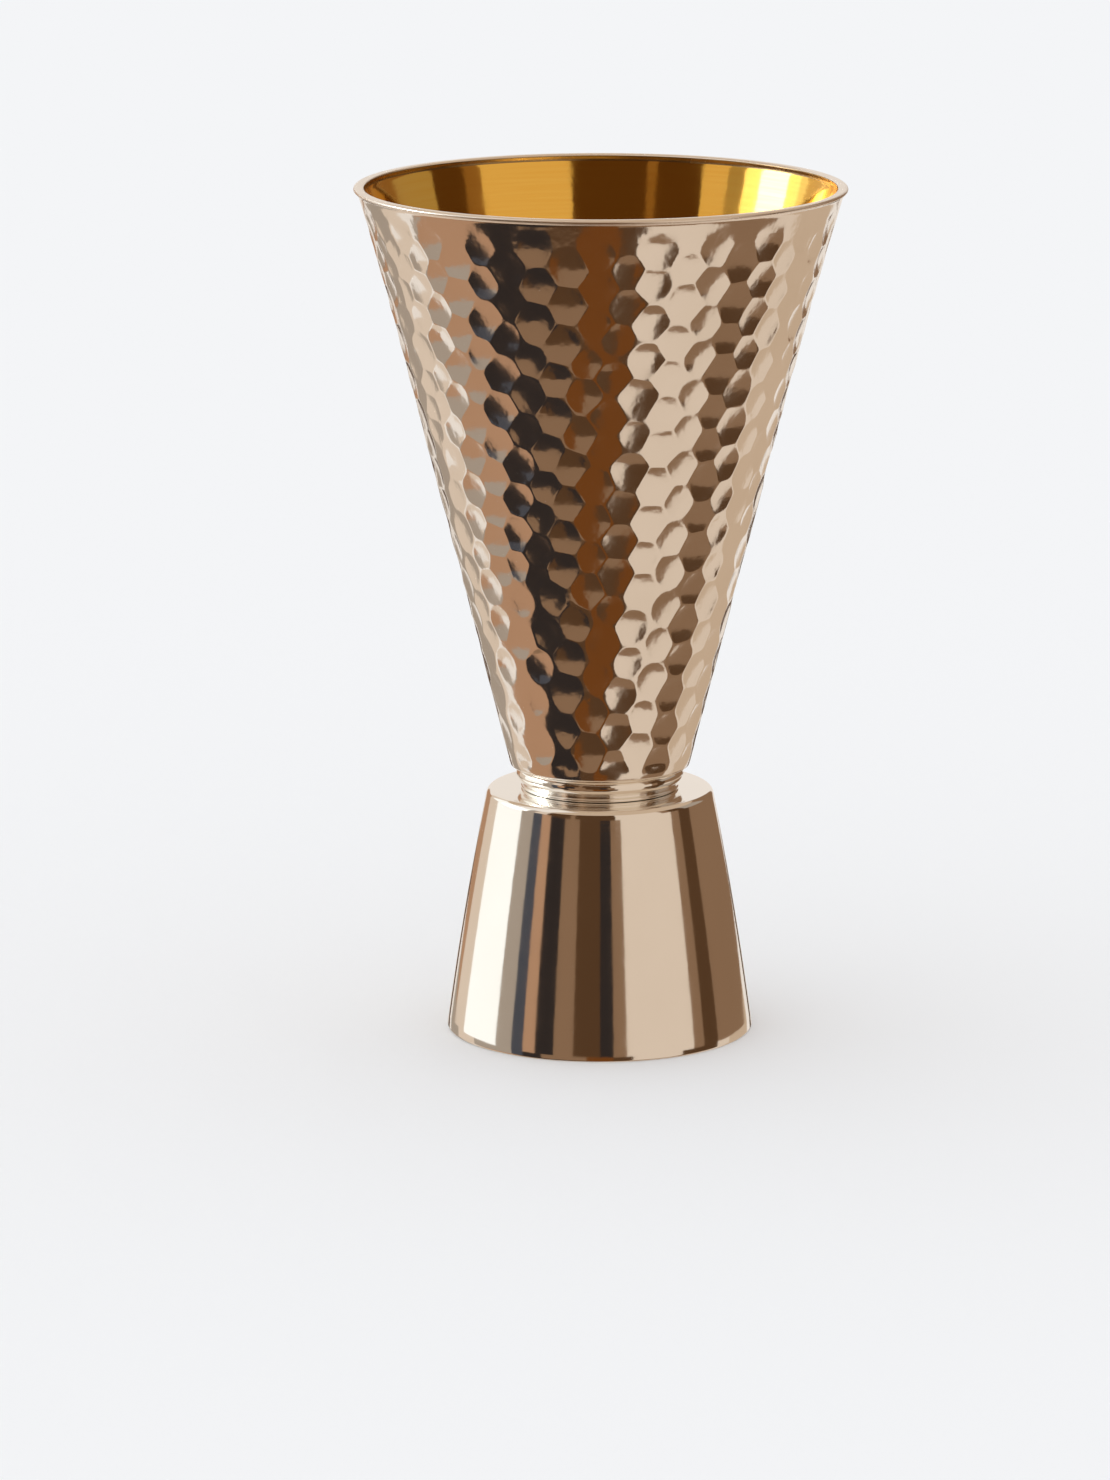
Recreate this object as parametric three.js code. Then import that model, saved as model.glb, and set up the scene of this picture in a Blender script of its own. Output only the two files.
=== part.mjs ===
// A kiddush cup: a tall hammered silver bowl, gilt inside, on a turned collar and a plain spun foot.
// Millimetres, +Z up. The origin is on the cup's axis, in the plane that the foot stands on.

import * as THREE from 'three';

// Heights above the table.
const HEIGHT = 140;
const BOWL_BASE_Z = 44.2;
const FOOT_HEIGHT = 40.4;

// Bowl: a straight cone that opens a little more towards its rim.
const BOWL_BASE_RADIUS = 14.7;
const BOWL_SLOPE = 0.2545; // radius gained for each millimetre of height
const FLARE_START_Z = 112;
const FLARE = 0.54; // extra radius at the rim
const BOWL_WALL = 1;
const BOWL_FLOOR = 1.5;
const FLOOR_FILLET = 8;
const BASE_EDGE_RADIUS = 0.5;

// Rim: a bead, wider than high, that stands proud of the wall outside.
const RIM_RADIUS = 40;
const RIM_BEAD_WIDTH = 1.7;
const RIM_BEAD_HEIGHT = 0.9;
const WALL_TOP_Z = 138.9;

// Hammer marks: shallow hollows, struck in columns that are staggered by half a mark.
const HAMMER_TOP_Z = 136.2;
const HAMMER_BASE_Z = 45.2;
const MARK_HEIGHT = 6.2;
const COLUMN_WIDTH = 4.5;
const MARK_DEPTH = 0.36;
const DEPTH_VARIATION = 0.08;
const STRAY = 0.35; // how far a blow lands from where it was aimed
const SPACING_PASSES = 25;

// Collar: a bead, a groove and a fine bead, turned in one piece.
const NECK_RADIUS = 12.5;
const BEAD_RADIUS = 13.75;
const BEAD_BASE_Z = 41.5;
const FINE_BEAD_RADIUS = 13;
const GROOVE_WIDTH = 0.4;

// Foot: a hollow cone with softly bellied sides. Its top is all but level, out to a rounded shoulder.
const FOOT_BASE_RADIUS = 25.2;
const SHOULDER_RADIUS = 18.5;
const SHOULDER_Z = 40.35;
const SHOULDER_FILLET = 1.2;
const FOOT_BELLY = 0.35;
const FOOT_WALL = 1;
const FOOT_EDGE_RADIUS = 0.35;

const BOWL_SIDES = 60;
const FOOT_SIDES = 52;
const COLLAR_SIDES = 36;

const SILVER = { color: 0xcfc9c0, metalness: 1, roughness: 0.12 };
const PLAIN = new THREE.Color(1, 1, 1);
const GILT = new THREE.Color(1, 0.78, 0.3); // tints the silver, for the gilding inside the bowl

// ---- Sections: points of (radius, height) ----

function at(radius, height) {
  return new THREE.Vector2(radius, height);
}

function arc(centre, radiusX, radiusY, fromDegrees, toDegrees, steps) {
  return Array.from({ length: steps + 1 }, (_, i) => {
    const angle = THREE.MathUtils.degToRad(fromDegrees + ((toDegrees - fromDegrees) * i) / steps);
    return at(centre.x + radiusX * Math.cos(angle), centre.y + radiusY * Math.sin(angle));
  });
}

function shortestTurn(from, to) {
  return Math.atan2(Math.sin(to - from), Math.cos(to - from));
}

// The corner between two straight lines, rounded off.
function rounded(before, corner, after, radius, steps) {
  const back = before.clone().sub(corner).normalize();
  const on = after.clone().sub(corner).normalize();
  const halfAngle = Math.acos(back.dot(on)) / 2;
  const centre = corner.clone().add(back.clone().add(on).setLength(radius / Math.sin(halfAngle)));
  const reach = radius / Math.tan(halfAngle);
  const from = corner.clone().addScaledVector(back, reach).sub(centre).angle();
  const to = corner.clone().addScaledVector(on, reach).sub(centre).angle();
  const toDegrees = THREE.MathUtils.radToDeg;
  return arc(centre, radius, radius, toDegrees(from), toDegrees(from + shortestTurn(from, to)), steps);
}

// ---- Bowl ----

const wallAngle = Math.atan(BOWL_SLOPE);
const wallWidth = BOWL_WALL / Math.cos(wallAngle);
const rimCentreZ = HEIGHT - RIM_BEAD_HEIGHT / 2;

function bowlRadius(z) {
  const flare = Math.max(0, (z - FLARE_START_Z) / (rimCentreZ - FLARE_START_Z));
  return BOWL_BASE_RADIUS + BOWL_SLOPE * (z - BOWL_BASE_Z) + FLARE * flare * flare;
}

// A mark lies at an angle round the axis and a drop down the slope from the hammered wall's upper edge.
function wallHeight(drop) {
  return HAMMER_TOP_Z - drop * Math.cos(wallAngle);
}

function wallPoint({ angle, drop, depth }) {
  const radius = bowlRadius(wallHeight(drop)) - depth * Math.cos(wallAngle);
  const z = wallHeight(drop) + depth * Math.sin(wallAngle);
  return new THREE.Vector3(radius * Math.cos(angle), radius * Math.sin(angle), z);
}

function ringOnWall(z, sides) {
  const drop = (HAMMER_TOP_Z - z) / Math.cos(wallAngle);
  return Array.from({ length: sides }, (_, i) => ({ angle: (2 * Math.PI * i) / sides, drop, depth: 0 }));
}

// Triangles between two rings that go round the same way, with any number of points in each.
function stitch(upper, lower, place) {
  const upperPlaces = upper.map(place);
  const lowerPlaces = lower.map(place);
  const gaps = lowerPlaces.map((point) => point.distanceTo(upperPlaces[0]));
  const start = gaps.indexOf(Math.min(...gaps));
  const triangles = [];
  let i = 0;
  let j = 0;
  while (i < upper.length || j < lower.length) {
    const a = i % upper.length;
    const nextA = (i + 1) % upper.length;
    const b = (start + j) % lower.length;
    const nextB = (start + j + 1) % lower.length;
    const alongUpper = upperPlaces[nextA].distanceTo(lowerPlaces[b]);
    const alongLower = lowerPlaces[nextB].distanceTo(upperPlaces[a]);
    if (j === lower.length || (i < upper.length && alongUpper < alongLower)) {
      triangles.push([upper[a], lower[b], upper[nextA]]);
      i += 1;
    } else {
      triangles.push([upper[a], lower[b], lower[nextB]]);
      j += 1;
    }
  }
  return triangles;
}

function stitchAll(rings, place) {
  return rings.slice(1).flatMap((ring, i) => stitch(rings[i], ring, place));
}

// The same fixed scatter every time: a number from -1 to 1 for each whole number.
function scatter(n) {
  const x = Math.sin(n * 12.9898 + 4.1414) * 43758.5453;
  return 2 * (x - Math.floor(x)) - 1;
}

// Rows of marks, every other one half a mark lower, with as many in each row as fit round the wall.
function aimedMarks() {
  const length = (HAMMER_TOP_Z - HAMMER_BASE_Z) / Math.cos(wallAngle);
  const rowCount = Math.round(length / MARK_HEIGHT);
  const rowHeight = length / rowCount;
  return Array.from({ length: rowCount }, (_, row) => {
    const middle = (row + 0.5) * rowHeight;
    const girth = 2 * Math.PI * bowlRadius(wallHeight(middle));
    const count = 2 * Math.round(girth / COLUMN_WIDTH / 2);
    const turn = scatter(row) * Math.PI;
    return Array.from({ length: count }, (_, i) => {
      const drop = middle + (i % 2 ? -rowHeight / 4 : rowHeight / 4);
      return { angle: turn + (2 * Math.PI * i) / count, drop, depth: 0 };
    });
  });
}

// Every blow is spaced by eye off its neighbours: each mark moves half of the way to the middle of them.
function spaceByEye(rows) {
  const neighbours = new Map(rows.flat().map((mark) => [mark, new Set()]));
  for (const triangle of stitchAll(rows, wallPoint)) {
    for (const mark of triangle) {
      triangle.filter((other) => other !== mark).forEach((other) => neighbours.get(mark).add(other));
    }
  }
  const edgeMarks = new Set([...rows[0], ...rows[rows.length - 1]]);
  const moves = rows.flat().map((mark) => {
    const around = [...neighbours.get(mark)];
    const turns = around.map((other) => shortestTurn(mark.angle, other.angle));
    const falls = around.map((other) => (edgeMarks.has(mark) ? 0 : other.drop - mark.drop));
    const sum = (values) => values.reduce((total, value) => total + value, 0);
    return { mark, turn: sum(turns) / around.length, fall: sum(falls) / around.length };
  });
  for (const { mark, turn, fall } of moves) {
    mark.angle += turn / 2;
    mark.drop += fall / 2;
  }
}

function hammerMarks() {
  const rows = aimedMarks();
  for (let pass = 0; pass < SPACING_PASSES; pass += 1) spaceByEye(rows);
  rows.flat().forEach((mark, i) => {
    mark.angle += (STRAY * scatter(3 * i + 1)) / bowlRadius(wallHeight(mark.drop));
    mark.drop += STRAY * scatter(3 * i + 2);
    mark.depth = MARK_DEPTH + DEPTH_VARIATION * scatter(3 * i + 3);
  });
  return rows;
}

function crestOver(triangle) {
  const { angle } = triangle[0];
  const turn = triangle.reduce((sum, mark) => sum + shortestTurn(angle, mark.angle), 0) / 3;
  const drop = triangle.reduce((sum, mark) => sum + mark.drop, 0) / 3;
  return { angle: angle + turn, drop, depth: 0 };
}

// The marks' middles are joined into triangles. A crest point over each triangle stands at the wall's own
// surface, and each line between two middles gives way to the crest that crosses it.
function hammeredFacets(rings) {
  const facets = [];
  const openEdges = new Map();
  for (const triangle of stitchAll(rings, wallPoint)) {
    const crest = crestOver(triangle);
    triangle.forEach((from, i) => {
      const to = triangle[(i + 1) % 3];
      const beyond = openEdges.get(to)?.get(from);
      if (beyond) {
        facets.push([from, beyond, crest], [to, crest, beyond]);
        openEdges.get(to).delete(from);
      } else {
        if (!openEdges.has(from)) openEdges.set(from, new Map());
        openEdges.get(from).set(to, crest);
      }
    });
  }
  openEdges.forEach((ends, from) => ends.forEach((crest, to) => facets.push([from, to, crest])));
  return facets;
}

// A skin collects shared corners, each with its tint, and the triangles between them.
class Skin {
  constructor() {
    this.corners = new Map();
    this.positions = [];
    this.tints = [];
    this.faces = [];
  }

  corner(point, place, tint) {
    if (!this.corners.has(point)) {
      this.corners.set(point, this.corners.size);
      this.positions.push(...place(point).toArray());
      this.tints.push(tint.r, tint.g, tint.b);
    }
    return this.corners.get(point);
  }

  add(triangles, place, tint) {
    for (const triangle of triangles) {
      this.faces.push(...triangle.map((point) => this.corner(point, place, tint)));
    }
  }

  geometry() {
    const geometry = new THREE.BufferGeometry();
    geometry.setAttribute('position', new THREE.Float32BufferAttribute(this.positions, 3));
    geometry.setAttribute('color', new THREE.Float32BufferAttribute(this.tints, 3));
    geometry.setIndex(this.faces);
    geometry.computeVertexNormals();
    return geometry;
  }
}

// Adds the surface that a section sweeps round the axis from a ring that is already there, and returns its
// last ring. A section that goes up the outside, over the rim and down the inside turns its faces over.
function sweep(skin, firstRing, section, tint, goesUp) {
  const place = (point) => point.place ?? wallPoint(point);
  let ring = firstRing;
  for (const { x, y } of section) {
    const next = Array.from({ length: x > 0 ? BOWL_SIDES : 1 }, (_, i) => {
      const angle = (2 * Math.PI * i) / BOWL_SIDES;
      return { place: new THREE.Vector3(x * Math.cos(angle), x * Math.sin(angle), y) };
    });
    const triangles =
      x > 0
        ? stitch(ring, next, place)
        : ring.map((point, i) => [point, next[0], ring[(i + 1) % ring.length]]);
    skin.add(goesUp ? triangles.map(([a, b, c]) => [a, c, b]) : triangles, place, tint);
    ring = next;
  }
  return ring;
}

function rimSection() {
  const centre = at(RIM_RADIUS - RIM_BEAD_WIDTH / 2, rimCentreZ);
  const bead = arc(centre, RIM_BEAD_WIDTH / 2, RIM_BEAD_HEIGHT / 2, -45, 180, 5);
  return [at(bowlRadius(WALL_TOP_Z), WALL_TOP_Z), ...bead];
}

function insideSection() {
  const inner = (z) => at(bowlRadius(z) - wallWidth, z);
  const floorZ = BOWL_BASE_Z + BOWL_FLOOR;
  const middle = at(0, floorZ);
  const wall = [WALL_TOP_Z, (WALL_TOP_Z + FLARE_START_Z) / 2, FLARE_START_Z].map(inner);
  return [...wall, ...rounded(inner(FLARE_START_Z), inner(floorZ), middle, FLOOR_FILLET, 5), middle];
}

function undersideSection() {
  const corner = at(BOWL_BASE_RADIUS, BOWL_BASE_Z);
  const middle = at(0, BOWL_BASE_Z);
  const above = at(bowlRadius(HAMMER_BASE_Z), HAMMER_BASE_Z);
  return [...rounded(above, corner, middle, BASE_EDGE_RADIUS, 3), middle];
}

function bowlGeometry() {
  const top = ringOnWall(HAMMER_TOP_Z, BOWL_SIDES);
  const base = ringOnWall(HAMMER_BASE_Z, BOWL_SIDES);
  const skin = new Skin();
  skin.add(hammeredFacets([top, ...hammerMarks(), base]), wallPoint, PLAIN);
  const rim = sweep(skin, top, rimSection(), PLAIN, true);
  sweep(skin, rim, insideSection(), GILT, true);
  sweep(skin, base, undersideSection(), PLAIN, false);
  return skin.geometry();
}

// ---- Turned pieces: a section from the axis above to the axis below, turned about +Z ----

function turned(section, sides) {
  const geometry = new THREE.LatheGeometry(section.toReversed(), sides);
  geometry.rotateX(Math.PI / 2);
  return geometry;
}

function collarGeometry() {
  const fineTopZ = BEAD_BASE_Z - GROOVE_WIDTH;
  const bead = (topZ, height, radius, steps) =>
    arc(at(NECK_RADIUS, topZ - height / 2), radius - NECK_RADIUS, height / 2, 90, -90, steps);
  const section = [
    at(0, BOWL_BASE_Z),
    ...bead(BOWL_BASE_Z, BOWL_BASE_Z - BEAD_BASE_Z, BEAD_RADIUS, 6),
    ...bead(fineTopZ, fineTopZ - FOOT_HEIGHT, FINE_BEAD_RADIUS, 4),
    at(0, FOOT_HEIGHT),
  ];
  return turned(section, COLLAR_SIDES);
}

// One face of the foot's sheet, from the collar out over the shoulder and down to the edge.
function footFace(inset, edgeZ, steps) {
  const neck = at(NECK_RADIUS, FOOT_HEIGHT - inset);
  const corner = at(SHOULDER_RADIUS - inset, SHOULDER_Z - inset);
  const side = Array.from({ length: steps }, (_, i) => {
    const down = (i + 1) / steps;
    const radius = THREE.MathUtils.lerp(SHOULDER_RADIUS, FOOT_BASE_RADIUS, down) - inset;
    const belly = 4 * FOOT_BELLY * down * (1 - down);
    return at(radius + belly, THREE.MathUtils.lerp(corner.y, edgeZ, down));
  });
  return [neck, ...rounded(neck, corner, side[0], SHOULDER_FILLET - inset, 4), ...side];
}

function footGeometry() {
  const section = [
    at(0, FOOT_HEIGHT),
    ...footFace(0, FOOT_EDGE_RADIUS, 5),
    at(FOOT_BASE_RADIUS - FOOT_EDGE_RADIUS, 0),
    at(FOOT_BASE_RADIUS - FOOT_WALL, 0),
    ...footFace(FOOT_WALL, FOOT_EDGE_RADIUS, 4).reverse(),
    at(0, FOOT_HEIGHT - FOOT_WALL),
  ];
  return turned(section, FOOT_SIDES);
}

// ---- The cup ----

function piece(name, geometry, finish) {
  const mesh = new THREE.Mesh(geometry, new THREE.MeshStandardMaterial(finish));
  mesh.name = name;
  return mesh;
}

const cup = new THREE.Group();
cup.add(piece('bowl', bowlGeometry(), { ...SILVER, vertexColors: true }));
cup.add(piece('collar', collarGeometry(), SILVER));
cup.add(piece('foot', footGeometry(), SILVER));

export default cup;
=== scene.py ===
"""A kiddush cup: a hammered silver bowl, gilt inside, on a turned collar and a plain polished foot.

Sections are in millimetres, as (radius, height above the table). Each mesh is brought to metres at the end.
"""

import math

import bmesh
import bpy
from mathutils import Matrix, Vector, kdtree, noise


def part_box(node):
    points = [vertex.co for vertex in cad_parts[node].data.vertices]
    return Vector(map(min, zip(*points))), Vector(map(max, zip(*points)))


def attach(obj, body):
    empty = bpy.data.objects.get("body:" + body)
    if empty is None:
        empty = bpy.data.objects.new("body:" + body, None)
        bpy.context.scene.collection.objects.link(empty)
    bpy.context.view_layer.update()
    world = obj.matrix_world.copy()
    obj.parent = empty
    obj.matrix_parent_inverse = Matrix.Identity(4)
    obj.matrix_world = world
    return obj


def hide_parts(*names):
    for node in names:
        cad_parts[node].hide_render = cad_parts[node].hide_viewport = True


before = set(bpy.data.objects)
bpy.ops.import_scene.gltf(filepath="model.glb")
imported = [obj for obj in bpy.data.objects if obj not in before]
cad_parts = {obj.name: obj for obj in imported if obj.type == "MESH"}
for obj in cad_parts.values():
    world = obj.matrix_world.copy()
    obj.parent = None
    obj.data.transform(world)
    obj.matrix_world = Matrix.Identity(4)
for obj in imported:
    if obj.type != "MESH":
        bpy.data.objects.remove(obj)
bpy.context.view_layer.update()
scene = bpy.context.scene
scene.view_settings.view_transform = "Standard"

MM = 0.001
FULL_TURN = 2 * math.pi


def top(node):
    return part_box(node)[1].z / MM


def radius(node):
    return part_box(node)[1].x / MM


# ---- Bowl's sizes ----

HEIGHT = top("bowl")
BOWL_BASE_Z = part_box("bowl")[0].z / MM
BOWL_BASE_RADIUS = 14.7
BOWL_SLOPE = 0.2545
FLARE_START_Z, FLARE = 112, 0.54
BOWL_WALL, BOWL_FLOOR, FLOOR_FILLET = 1, 1.5, 8
BASE_EDGE_RADIUS = 0.5
RIM_RADIUS = radius("bowl")
BEAD_WIDTH, BEAD_HEIGHT = 1.7, 0.9
BEAD_ARC = -55, 180  # in degrees, from under the bead's outer side, over its top, to its inner side
WALL_TOP_Z = 138.9
SMOOTH_WALL_Z = 138.2, 138.6, WALL_TOP_Z  # the smooth wall between the marks and the bead
HOLLOW_UNDER_BEAD = 0.12, 0.2  # how far the wall spreads and rises into the bead
LIP = (0.02, 139.35), (0.01, 139.1), (-0.03, 138.85)  # past the bead's inner side, and the height
INNER_WALL_Z = 138.4, 137.8, 137.2, 136, 132, 128, 124, 120, 116, FLARE_START_Z, 90, 70
HAMMER_TOP_Z, HAMMER_BASE_Z = 136.2, 45.2

HAMMER_CURVES = 0.03, 0.055  # one over the radii of the hammer's face, across the slope and along it
CURVE_VARIATION = 0.25
HAMMER_LEAN = 0.04
CHANCE_SCALE, CHANCE_SHIFTS = 0.9, (0, 300, 600)  # where noise is read for a mark's leans and its curve
SHALLOWER = 0.11  # how much less deep the round hollows are than the solid's faceted ones
WALL_ROUND = 0.7  # divided by the wall's radius, the depth that its own round adds to a mark
CREST_BLEND = 0.05  # how far below its neighbours' meeting line a worn crest lies, times four
EDGE_BLEND = 0.03  # the same where a mark fades into the smooth wall
FADE = 1.5  # how far the outermost marks reach past the solid's hammered wall, or fade out inside it
CUTS = 5  # each facet between hammer marks is cut into this many rows, and one more
CROWDING = 1.5  # how much closer together those rows lie next to a crest
NEIGHBOURS = 4  # how many marks can share the wall at one place

LEVEL_SLACK = 0.01  # a corner that far above or below the hammered wall is still taken as part of it
SURFACE_SLACK = 0.1  # a corner nearer the surface than this is on a crest, a deeper one in a mark's middle
DEEPEST = 0.6  # a corner deeper than this isn't on the outside of the wall
MEETING_STEPS, DAMPING = 4, 0.002  # for finding where three marks meet
UNCROSS_TIMES, HALF_GAP = 3, 0.05  # crests that crossed end up this share of their distance from half way
TOUCHING = 1e-4  # corners nearer each other than this are one
ON_A_CREST = 0.999  # the reach of a corner is 0 at a mark's middle and 1 on a crest

# The crease's finish is painted shade: darker gilding that stands for the shadow under the rim.
SILVER, GILT, PAINTED_SHADE_CREASE, RIM = range(4)  # the bowl's finishes, in the order in which it has them

wall_angle = math.atan(BOWL_SLOPE)
rim_centre_z = HEIGHT - BEAD_HEIGHT / 2


def wall_radius(z):
    flare = max(0, (z - FLARE_START_Z) / (rim_centre_z - FLARE_START_Z))
    return BOWL_BASE_RADIUS + BOWL_SLOPE * (z - BOWL_BASE_Z) + FLARE * flare**2


# A place on the wall is an angle round the axis and a drop down the slope from where the marks begin.
def on_wall(angle, drop, depth=0.0):
    z = HAMMER_TOP_Z - drop * math.cos(wall_angle)
    r = wall_radius(z) - depth * math.cos(wall_angle)
    return Vector((r * math.cos(angle), r * math.sin(angle), z + depth * math.sin(wall_angle)))


def depth_in_wall(co):
    return (wall_radius(co.z) - math.hypot(co.x, co.y)) * math.cos(wall_angle)


def place_on_wall(co, depth=0.0):
    drop = (HAMMER_TOP_Z - co.z + depth * math.sin(wall_angle)) / math.cos(wall_angle)
    return math.atan2(co.y, co.x), drop


def turn_between(start, end):
    return math.atan2(math.sin(end - start), math.cos(end - start))


# ---- Sections ----


def arc(centre, radius_x, radius_z, start, end, steps):
    angles = [math.radians(start + (end - start) * i / steps) for i in range(steps + 1)]
    return [(centre[0] + radius_x * math.cos(a), centre[1] + radius_z * math.sin(a)) for a in angles]


def rounded(before, corner, after, fillet, steps):
    """The corner between two straight lines, rounded off."""
    before, corner, after = Vector(before), Vector(corner), Vector(after)
    back, on = (before - corner).normalized(), (after - corner).normalized()
    half = back.angle(on) / 2
    centre = corner + (back + on).normalized() * fillet / math.sin(half)
    first = corner + back * fillet / math.tan(half) - centre
    last = corner + on * fillet / math.tan(half) - centre
    start = math.atan2(first.y, first.x)
    turn = turn_between(start, math.atan2(last.y, last.x))
    return arc(centre, fillet, fillet, math.degrees(start), math.degrees(start + turn), steps)


# ---- Meshes ----


def finished(name, bm, node, materials):
    """Makes an object of a mesh in millimetres and puts it in the place of a node."""
    bmesh.ops.remove_doubles(bm, verts=bm.verts, dist=TOUCHING)
    bmesh.ops.recalc_face_normals(bm, faces=bm.faces)
    bmesh.ops.scale(bm, vec=Vector((MM, MM, MM)), verts=bm.verts)
    for face in bm.faces:
        face.smooth = True
    mesh = bpy.data.meshes.new(name)
    bm.to_mesh(mesh)
    bm.free()
    for material in materials:
        mesh.materials.append(material)
    piece = bpy.data.objects.new(name, mesh)
    scene.collection.objects.link(piece)
    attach(piece, "root")
    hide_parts(node)


def turned(section, steps):
    """The surface that a section sweeps when it is turned once round the axis."""
    bm = bmesh.new()
    points = [bm.verts.new((r, 0, z)) for r, z in section]
    lines = [bm.edges.new(pair) for pair in zip(points, points[1:])]
    bmesh.ops.spin(
        bm, geom=points + lines, cent=(0, 0, 0), axis=(0, 0, 1), angle=FULL_TURN, steps=steps, use_merge=True
    )
    bmesh.ops.remove_doubles(bm, verts=bm.verts, dist=TOUCHING)
    return bm


def extend(bm, ring, section, material=SILVER):
    """Carries a ring of edges on along a section, and returns its last ring."""
    for r, z in section:
        made = bmesh.ops.extrude_edge_only(bm, edges=ring)["geom"]
        corners = {g for g in made if isinstance(g, bmesh.types.BMVert)}
        ring = [g for g in made if isinstance(g, bmesh.types.BMEdge) and set(g.verts) <= corners]
        for face in {face for edge in ring for face in edge.link_faces}:
            face.material_index = material
        for corner in corners:
            angle = math.atan2(corner.co.y, corner.co.x)
            corner.co = (r * math.cos(angle), r * math.sin(angle), z)
    return ring


# ---- The hammered wall ----
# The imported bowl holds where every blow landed: each mark's middle is a corner that lies in the wall, and the
# crests between marks have corners on the wall's own surface.


def packed_wall():
    """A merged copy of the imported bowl's hammered wall, with each mark's middle and depth."""
    bm = bmesh.new()
    bm.from_mesh(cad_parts["bowl"].data)
    bm.verts.layers.float.new("reach")
    bmesh.ops.remove_doubles(bm, verts=bm.verts, dist=1e-6)
    bmesh.ops.scale(bm, vec=Vector((1, 1, 1)) / MM, verts=bm.verts)

    def hammered(corner):
        level = HAMMER_BASE_Z - LEVEL_SLACK < corner.co.z < HAMMER_TOP_Z + LEVEL_SLACK
        return level and -SURFACE_SLACK < depth_in_wall(corner.co) < DEEPEST

    others = [face for face in bm.faces if not all(map(hammered, face.verts))]
    bmesh.ops.delete(bm, geom=others, context="FACES")
    depths = {corner: depth_in_wall(corner.co) for corner in bm.verts}
    return bm, {corner: depth for corner, depth in depths.items() if depth > SURFACE_SLACK}


class Mark:
    """A rounded hollow. It leans a little and is struck harder or softer, as no two blows fall alike."""

    def __init__(self, co, depth):
        self.angle, self.drop = place_on_wall(co, depth)
        self.girth = wall_radius(co.z)
        self.depth = depth - SHALLOWER + WALL_ROUND / self.girth
        places = [co * CHANCE_SCALE + Vector((0, 0, shift)) for shift in CHANCE_SHIFTS]
        chance = Vector([noise.noise(place) for place in places])
        self.lean = (HAMMER_LEAN * chance.x, HAMMER_LEAN * chance.y)
        across, along = (curve * (1 + CURVE_VARIATION * chance.z) for curve in HAMMER_CURVES)
        self.curves = across + 1 / self.girth, along

    def across(self, angle):
        return turn_between(self.angle, angle) * self.girth

    def height(self, angle, drop):
        """How far the hollow stands above the wall's own surface there, which is mostly below it."""
        u, v = self.across(angle), drop - self.drop
        hollow = (self.curves[0] * u * u + self.curves[1] * v * v) / 2
        return hollow + self.lean[0] * u + self.lean[1] * v - self.depth

    def slope(self, angle, drop):
        u, v = self.across(angle), drop - self.drop
        return Vector((self.curves[0] * u + self.lean[0], self.curves[1] * v + self.lean[1]))


def meeting_place(angle, drop, marks):
    """Near that place, where three marks are equally high."""
    for _ in range(MEETING_STEPS):
        heights = [mark.height(angle, drop) for mark in marks]
        slopes = [mark.slope(angle, drop) for mark in marks]
        differ = Vector((heights[0] - heights[1], heights[1] - heights[2]))
        change = Matrix((slopes[0] - slopes[1], slopes[1] - slopes[2]))
        damped = change @ change.transposed() + DAMPING * Matrix.Identity(2)
        step = change.transposed() @ damped.inverted() @ differ
        angle -= step.x / wall_radius(HAMMER_TOP_Z - drop)
        drop -= step.y
    return angle, drop


def uncross(bm, crests):
    """Wherever two crests have passed each other and turned a face over, they meet half way."""
    for face in bm.faces:
        pair = [corner for corner in face.verts if corner in crests]
        face.normal_update()
        if len(pair) == 2 and face.normal.dot(face.calc_center_median().xy.to_3d()) < 0:
            middle = (pair[0].co + pair[1].co) / 2
            apart = (pair[0].co - pair[1].co) * HALF_GAP
            pair[0].co, pair[1].co = middle - apart, middle + apart


def blended(first, second, blend):
    """The lower of two heights, rounded off where they are nearly the same."""
    near = max(0, blend - abs(first - second)) / blend
    return min(first, second) - near * near * blend / 4


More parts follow.
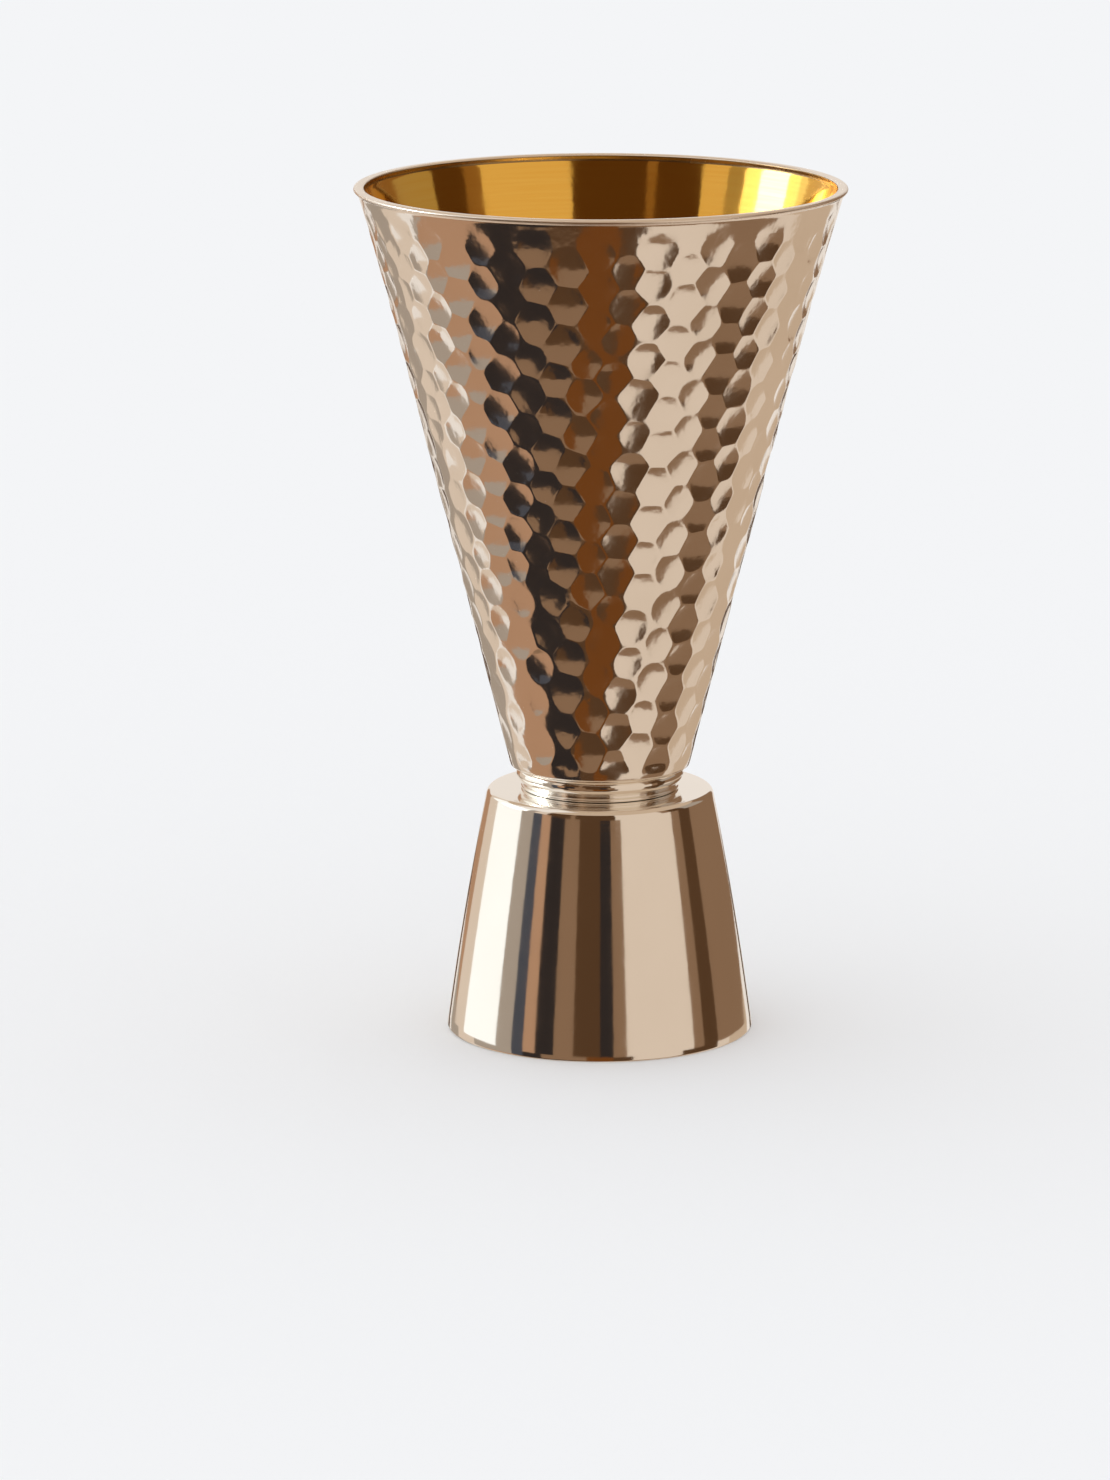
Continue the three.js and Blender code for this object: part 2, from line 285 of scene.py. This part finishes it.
def hammered_wall():
    bm, depths = packed_wall()
    marks = {corner: Mark(corner.co, depth) for corner, depth in depths.items()}
    reach = bm.verts.layers.float["reach"]
    edge_corners = {corner for corner in bm.verts if corner.is_boundary}
    crests = [corner for corner in bm.verts if corner not in marks and corner not in edge_corners]
    for corner, mark in marks.items():
        corner.co = on_wall(mark.angle, mark.drop)
    for crest in crests:
        crest[reach] = 1
        around = [edge.other_vert(crest) for edge in crest.link_edges]
        around = [marks[corner] for corner in around if corner in marks]
        if len(around) == 3:
            crest.co = on_wall(*meeting_place(*place_on_wall(crest.co), around))
    for _ in range(UNCROSS_TIMES):
        uncross(bm, set(crests))

    bmesh.ops.subdivide_edges(bm, edges=bm.edges, cuts=CUTS, use_grid_fill=True)

    marks = list(marks.values())
    middles = kdtree.KDTree(len(marks))
    for i, mark in enumerate(marks):
        middles.insert(on_wall(mark.angle, mark.drop), i)
    middles.balance()
    owners = {}
    for middle in [corner for corner in bm.verts if middles.find(corner.co)[2] < TOUCHING]:
        mark = marks[middles.find(middle.co)[1]]
        waiting = [middle]
        while waiting:
            corner = waiting.pop()
            owners[corner] = mark
            around = (edge.other_vert(corner) for edge in corner.link_edges)
            waiting += [other for other in around if other not in owners and other[reach] < ON_A_CREST]

    length = (HAMMER_TOP_Z - HAMMER_BASE_Z) / math.cos(wall_angle)
    for corner in bm.verts:
        angle, drop = place_on_wall(corner.co)
        if drop < 1e-3:
            drop = -FADE
        near = [marks[i] for _, i, _ in middles.find_n(corner.co, NEIGHBOURS)]
        mark, share = owners.get(corner), corner[reach]
        if mark and share > 0:
            spread = (1 - (1 - share) ** CROWDING) / share
            angle = mark.angle + turn_between(mark.angle, angle) * spread
            drop = mark.drop + (drop - mark.drop) * spread
        heights = sorted(mark.height(angle, drop) for mark in near)
        height = heights[0]
        for other in heights[1:]:
            height = blended(height, other, CREST_BLEND)
        height = blended(height, 0, EDGE_BLEND)
        to_edge = min(drop + FADE, length - drop)
        height *= 0 if corner.is_boundary else min(1, to_edge / FADE)
        corner.co = on_wall(angle, drop, -height)
    return bm


def bowl_mesh():
    bm = hammered_wall()
    edges = [edge for edge in bm.edges if edge.is_boundary]
    upper = [edge for edge in edges if edge.verts[0].co.z > HAMMER_TOP_Z]
    lower = [edge for edge in edges if edge.verts[0].co.z < HAMMER_BASE_Z + 1]
    wall_width = BOWL_WALL / math.cos(wall_angle)
    floor_z = BOWL_BASE_Z + BOWL_FLOOR

    def inner(z):
        return wall_radius(z) - wall_width, z

    outer_wall = [(wall_radius(z), z) for z in SMOOTH_WALL_Z]
    spread, rise = HOLLOW_UNDER_BEAD
    outer_wall.append((wall_radius(WALL_TOP_Z) + spread, WALL_TOP_Z + rise))
    centre = (RIM_RADIUS - BEAD_WIDTH / 2, rim_centre_z)
    bead = arc(centre, BEAD_WIDTH / 2, BEAD_HEIGHT / 2, *BEAD_ARC, 24)
    lip = [(RIM_RADIUS - BEAD_WIDTH + past, z) for past, z in LIP]
    inner_wall = [inner(z) for z in INNER_WALL_Z]
    bottom = rounded(inner(FLARE_START_Z), inner(floor_z), (0, floor_z), FLOOR_FILLET, 8)
    ring = extend(bm, upper, outer_wall)
    ring = extend(bm, ring, bead[:-2], RIM)
    # The bead's inner side and the lip take the darker gilding, which is painted shade in the crease under the
    # rim.
    ring = extend(bm, ring, bead[-2:] + lip, PAINTED_SHADE_CREASE)
    extend(bm, ring, inner_wall + bottom + [(0, floor_z)], GILT)

    wall_end = (wall_radius(HAMMER_BASE_Z), HAMMER_BASE_Z)
    base_edge = (BOWL_BASE_RADIUS, BOWL_BASE_Z)
    middle = (0, BOWL_BASE_Z)
    extend(bm, lower, rounded(wall_end, base_edge, middle, BASE_EDGE_RADIUS, 4) + [middle])
    return bm


# ---- Collar and foot ----

FOOT_HEIGHT = top("foot")
FOOT_RADIUS = radius("foot")
NECK_RADIUS = 12.5
COLLAR_BEAD_RADIUS, COLLAR_BEAD_Z = radius("collar"), 41.5
FINE_BEAD_RADIUS, GROOVE = 13, 0.4
SHOULDER_RADIUS, SHOULDER_Z, SHOULDER_FILLET = 18.5, 40.35, 1.2
FOOT_BELLY, FOOT_WALL, FOOT_EDGE = 0.35, 1, 0.35


def collar_section():
    fine_top_z = COLLAR_BEAD_Z - GROOVE

    def bead(top_z, height, bead_radius, steps):
        centre = (NECK_RADIUS, top_z - height / 2)
        return arc(centre, bead_radius - NECK_RADIUS, height / 2, 90, -90, steps)

    return [
        (0, BOWL_BASE_Z),
        *bead(BOWL_BASE_Z, BOWL_BASE_Z - COLLAR_BEAD_Z, COLLAR_BEAD_RADIUS, 16),
        *bead(fine_top_z, fine_top_z - FOOT_HEIGHT, FINE_BEAD_RADIUS, 12),
        (0, FOOT_HEIGHT),
    ]


def foot_face(inset, edge_z, steps):
    neck = (NECK_RADIUS, FOOT_HEIGHT - inset)
    corner = (SHOULDER_RADIUS - inset, SHOULDER_Z - inset)
    side = []
    for i in range(1, steps + 1):
        down = i / steps
        belly = 4 * FOOT_BELLY * down * (1 - down)
        r = SHOULDER_RADIUS + (FOOT_RADIUS - SHOULDER_RADIUS) * down - inset + belly
        side.append((r, corner[1] + (edge_z - corner[1]) * down))
    return [neck, *rounded(neck, corner, side[0], SHOULDER_FILLET - inset, 12), *side]


def foot_section():
    edge_centre = (FOOT_RADIUS - FOOT_EDGE, FOOT_EDGE)
    return [
        (0, FOOT_HEIGHT),
        *foot_face(0, FOOT_EDGE, 24),
        *arc(edge_centre, FOOT_EDGE, FOOT_EDGE, 0, -90, 6)[1:],
        (FOOT_RADIUS - FOOT_WALL, 0),
        *reversed(foot_face(FOOT_WALL, FOOT_EDGE, 10)),
        (0, FOOT_HEIGHT - FOOT_WALL),
    ]


# ---- Finishes ----


def srgb(red, green, blue):
    def linear(value):
        value /= 255
        return value / 12.92 if value <= 0.04045 else ((value + 0.055) / 1.055) ** 2.4

    return linear(red), linear(green), linear(blue), 1


class Finish:
    """A material and a short way to add its nodes."""

    def __init__(self, name):
        self.material = bpy.data.materials.new(name)
        self.material.use_nodes = True
        self.tree = self.material.node_tree
        self.tree.nodes.clear()
        self.surface = self.node("ShaderNodeBsdfPrincipled")
        output = self.node("ShaderNodeOutputMaterial")
        self.tree.links.new(self.surface.outputs[0], output.inputs["Surface"])
        self.place = self.node("ShaderNodeTexCoord").outputs["Object"]

    def node(self, kind, settings=None, **inputs):
        made = self.tree.nodes.new(kind)
        for key, value in (settings or {}).items():
            setattr(made, key, value)
        for key, value in inputs.items():
            self.set(made, key, value)
        return made

    def set(self, node, key, value):
        """Sets an input, called by its name with _ for a space, or by its number as in i0."""
        numbered = key[0] == "i" and key[1:].isdigit()
        socket = node.inputs[int(key[1:]) if numbered else key.replace("_", " ")]
        if isinstance(value, bpy.types.NodeSocket):
            self.tree.links.new(value, socket)
        else:
            socket.default_value = value

    def noise(self, scale, detail=3.0, stretch=(1, 1, 1)):
        placed = self.node("ShaderNodeMapping", Vector=self.place, Scale=stretch)
        clouds = self.node("ShaderNodeTexNoise", Vector=placed.outputs[0], Scale=scale, Detail=detail)
        return clouds.outputs["Fac"]

    def ranged(self, value, low, high, start=0.3, end=0.7):
        return self.node(
            "ShaderNodeMapRange", Value=value, From_Min=start, From_Max=end, To_Min=low, To_Max=high
        ).outputs[0]

    def bump(self, height, distance, below=None):
        """A bump that is that many metres high, on top of another one."""
        made = self.node("ShaderNodeBump", Distance=distance, Height=height)
        if below:
            self.set(made, "Normal", below)
        return made.outputs[0]

    def blend(self, share, first, second):
        mixed = self.node("ShaderNodeMix", {"data_type": "RGBA"}, i0=share, i6=first, i7=second)
        return mixed.outputs[2]


def silver(name, tint, shade, roughness, waves, lines):
    """Polished silver. Its waves are gentle dents. Its lines run round the axis, as turning leaves them."""
    finish = Finish(name)
    clouds = finish.ranged(finish.noise(45, 4), 0, 1)
    finish.set(finish.surface, "Base_Color", finish.blend(clouds, srgb(*tint), srgb(*shade)))
    finish.set(finish.surface, "Metallic", 1)
    finish.set(finish.surface, "Roughness", finish.ranged(finish.noise(220, 5), *roughness))
    turned_lines = finish.bump(finish.noise(90, 3, (1, 1, 30)), lines)
    dents = finish.bump(finish.noise(320, 2), waves, turned_lines)
    finish.set(finish.surface, "Normal", dents)
    return finish.material


DEEP_GILT = (255, 226, 160)
DEEP_GILT_Z, BRIGHT_GILT_Z = 100 * MM, 127 * MM


def gilding(name, tint, shade, roughness):
    """Gilding that is bright near the rim and turns paler and satin towards the deep part of the bowl."""
    finish = Finish(name)
    spun = finish.noise(60, 3, (1, 1, 40))
    near_the_rim = finish.blend(finish.ranged(spun, 0, 1), srgb(*tint), srgb(*shade))
    height = finish.node("ShaderNodeSeparateXYZ", Vector=finish.place).outputs["Z"]
    rising = finish.ranged(height, 0, 1, DEEP_GILT_Z, BRIGHT_GILT_Z)
    finish.set(finish.surface, "Base_Color", finish.blend(rising, srgb(*DEEP_GILT), near_the_rim))
    metal = finish.ranged(height, 0.7, 1, DEEP_GILT_Z, BRIGHT_GILT_Z)
    finish.set(finish.surface, "Metallic", metal)
    polish = finish.ranged(finish.noise(150, 4), *roughness)
    satin = finish.ranged(height, 0.2, 0, DEEP_GILT_Z, BRIGHT_GILT_Z)
    rough = finish.node("ShaderNodeMath", {"operation": "ADD"}, i0=polish, i1=satin)
    finish.set(finish.surface, "Roughness", rough.outputs[0])
    dents = finish.bump(finish.noise(140, 2), 0.00003)
    waves = finish.bump(finish.noise(600, 2), 0.000006, dents)
    finish.set(finish.surface, "Normal", finish.bump(spun, 0.0000015, waves))
    return finish.material


hammered_silver = silver(
    "hammered silver",
    (253, 251, 248),
    (246, 243, 238),
    roughness=(0.09, 0.14),
    waves=0.000065,
    lines=0.000002,
)
rim_silver = silver(
    "satin silver of the rim",
    (253, 250, 246),
    (248, 244, 238),
    roughness=(0.26, 0.32),
    waves=0.000008,
    lines=0.000003,
)
polished_silver = silver(
    "polished silver",
    (253, 252, 249),
    (249, 247, 243),
    roughness=(0.06, 0.1),
    waves=0.000008,
    lines=0.000003,
)
gilt = gilding("gilding", (255, 209, 103), (253, 202, 93), roughness=(0.06, 0.11))
# The darker gilding in the crease under the rim is painted shade. Its dim tone stands for the shadow and dark
# reflection that fall there.
painted_shade_gilt = gilding(
    "gilding with painted shade in the crease under the rim", (178, 154, 118), (150, 128, 92), roughness=(0.2, 0.3)
)
bowl_finishes = {SILVER: hammered_silver, GILT: gilt, PAINTED_SHADE_CREASE: painted_shade_gilt, RIM: rim_silver}

finished("bowl_dressed", bowl_mesh(), "bowl", bowl_finishes.values())
finished("collar_dressed", turned(collar_section(), 180), "collar", [polished_silver])
finished("foot_dressed", turned(foot_section(), 240), "foot", [polished_silver])


# ---- Room ----
# The silver mirrors what stands round it: a bright window on the left, pale walls and dim warm furniture,
# each in one of a few plain tones. Azimuth is measured from the camera towards its right and elevation from
# the horizon, both in degrees.

ROOM = 2.6  # in metres, from the axis to the first panel
PANEL_GAP = 0.008  # in metres, how far in front of the last panel the next one hangs
FACET = 4  # in degrees, about how wide and how high a panel's faces are
GAIN = 1.06  # makes up for what the silver takes
FOOT_BAND, RIM_BAND = (-10, 11), (11, 36)  # the elevations of the walls' two rows of stripes
POSTS, POST_WIDTH = (-165, 165), 8

LAMP = (255, 252, 245)
LINEN = (230, 220, 210)
CREAM = (210, 190, 170)
PLASTER = (190, 165, 140)
STONE = (160, 145, 130)
CLAY = (170, 130, 100)
OAK = (130, 100, 75)
LEATHER = (105, 60, 25)
WALNUT = (80, 55, 35)
SLATE = (70, 70, 75)
SHADE = (45, 38, 35)

# The walls of the room, each tone from its azimuth to the next one's.
ROUND_THE_FOOT = (
    (-180, LINEN),
    (-165, CLAY),
    (-145, CREAM),
    (-125, LAMP),
    (-85, STONE),
    (-70, SLATE),
    (-60, CLAY),
    (-50, SHADE),
    (-35, OAK),
    (-20, WALNUT),
    (0, SHADE),
    (10, OAK),
    (20, CREAM),
    (75, OAK),
    (85, WALNUT),
    (100, OAK),
    (160, LINEN),
)
OVER_THE_RIM = (
    (-180, LINEN),
    (-150, CREAM),
    (-140, LAMP),
    (-80, STONE),
    (-70, CREAM),
    (-55, WALNUT),
    (-30, OAK),
    (-25, WALNUT),
    (15, CREAM),
    (65, OAK),
    (75, WALNUT),
    (95, STONE),
    (130, OAK),
    (160, LINEN),
)


def towards(azimuth, elevation):
    a, e = math.radians(azimuth), math.radians(elevation)
    return Vector((math.sin(a) * math.cos(e), -math.cos(a) * math.cos(e), math.sin(e)))


def room():
    bm = bmesh.new()
    shade = bm.loops.layers.float_color.new("shade")
    hung = 0

    def panel(azimuths, elevations, colour, strength=1.0):
        """A curved panel between two azimuths and two elevations, in front of those hung before it."""
        nonlocal hung
        hung += 1
        width, height = azimuths[1] - azimuths[0], elevations[1] - elevations[0]
        columns, rows = max(1, round(width / FACET)), max(1, round(height / FACET))
        grid = bmesh.ops.create_grid(bm, x_segments=columns, y_segments=rows, size=0.5)["verts"]
        tone = [channel * strength * GAIN for channel in srgb(*colour)[:3]] + [1]
        for corner in grid:
            azimuth = azimuths[0] + (corner.co.x + 0.5) * width
            elevation = elevations[0] + (corner.co.y + 0.5) * height
            corner.co = towards(azimuth, elevation) * (ROOM - PANEL_GAP * hung)
        for face in {face for corner in grid for face in corner.link_faces}:
            for loop in face.loops:
                loop[shade] = tone

    def stripes(elevations, tones):
        ends = [azimuth for azimuth, _ in tones[1:]] + [180]
        for (start, colour), end in zip(tones, ends):
            panel((start, end), elevations, colour)

    panel((-180, 180), (27, 90), PLASTER)
    panel((-120, -60), (27, 90), LINEN)
    panel((-180, 180), (-90, -10), OAK)
    stripes(FOOT_BAND, ROUND_THE_FOOT)
    stripes(RIM_BAND, OVER_THE_RIM)

    # The window, and the brighter wall beside it.
    panel((-120, -80), (10, 25), LAMP, 1.5)
    panel((-110, -90), (10, 27), LAMP, 7)

    # Below the horizon, where the bowl's wall looks down on the table, from the left to the right.
    panel((-180, -155), (-90, -10), LINEN)
    panel((-155, -135), (-90, -10), STONE)
    panel((-155, -135), (-90, -30), CREAM)
    panel((-135, -110), (-90, -10), CREAM)
    panel((-120, -110), (-30, -20), LINEN)
    panel((-110, -70), (-90, -10), CLAY)
    panel((-110, -70), (-90, -45), OAK)
    panel((-110, -70), (-25, -10), STONE)
    panel((-70, -45), (-90, -10), SHADE)
    panel((-70, -60), (-25, -10), SLATE)
    panel((-45, -30), (-90, -35), SHADE)
    panel((-45, -10), (-35, -10), OAK)
    panel((-30, -10), (-90, -35), WALNUT)
    panel((-10, 10), (-90, -10), LEATHER)
    panel((10, 25), (-90, -10), WALNUT)
    panel((10, 25), (-90, -45), OAK)
    panel((25, 65), (-90, -10), CREAM)
    panel((25, 65), (-90, -45), OAK)
    panel((65, 100), (-25, -10), WALNUT)
    panel((100, 115), (-90, -10), CREAM)
    panel((115, 150), (-90, -10), PLASTER)
    panel((115, 150), (-90, -35), CREAM)
    panel((150, 180), (-90, -10), LINEN)
    for post in POSTS:
        panel((post - POST_WIDTH / 2, post + POST_WIDTH / 2), (-60, -10), WALNUT)

    mesh = bpy.data.meshes.new("room")
    bm.to_mesh(mesh)
    bm.free()
    material = bpy.data.materials.new("room")
    material.use_nodes = True
    nodes = material.node_tree.nodes
    nodes.clear()
    tone = nodes.new("ShaderNodeAttribute")
    tone.attribute_name = "shade"
    glow = nodes.new("ShaderNodeEmission")
    output = nodes.new("ShaderNodeOutputMaterial")
    material.node_tree.links.new(tone.outputs["Color"], glow.inputs["Color"])
    material.node_tree.links.new(glow.outputs[0], output.inputs["Surface"])
    material.cycles.emission_sampling = "NONE"
    mesh.materials.append(material)
    shell = bpy.data.objects.new("room", mesh)
    scene.collection.objects.link(shell)
    shell.visible_camera = shell.visible_diffuse = shell.visible_shadow = False


FLOOR_SIZE = 6
FLOOR_COLOUR = (244, 245, 247)


def floor():
    mesh = bpy.data.meshes.new("floor")
    bm = bmesh.new()
    bmesh.ops.create_grid(bm, x_segments=1, y_segments=1, size=FLOOR_SIZE)
    bm.to_mesh(mesh)
    bm.free()
    material = bpy.data.materials.new("floor")
    material.use_nodes = True
    surface = material.node_tree.nodes["Principled BSDF"]
    surface.inputs["Base Color"].default_value = srgb(*FLOOR_COLOUR)
    surface.inputs["Roughness"].default_value = 1
    surface.inputs["Specular IOR Level"].default_value = 0
    mesh.materials.append(material)
    ground = bpy.data.objects.new("floor", mesh)
    scene.collection.objects.link(ground)
    ground.visible_glossy = False


room()
floor()

world = bpy.data.worlds.new("studio")
world.use_nodes = True
sky = world.node_tree.nodes["Background"]
sky.inputs["Color"].default_value = (1, 1, 1, 1)
sky.inputs["Strength"].default_value = 1
scene.world = world

# ---- Camera ----

CAMERA_LENS = 168.47
CAMERA_PLACE = (-0.0074, -1.1127, 0.294)
CAMERA_TILT = 77.54  # in degrees, up from looking straight down

camera = bpy.data.objects.new("camera", bpy.data.cameras.new("camera"))
camera.data.lens = CAMERA_LENS
camera.location = CAMERA_PLACE
camera.rotation_euler = (math.radians(CAMERA_TILT), 0, 0)
scene.collection.objects.link(camera)
scene.camera = camera
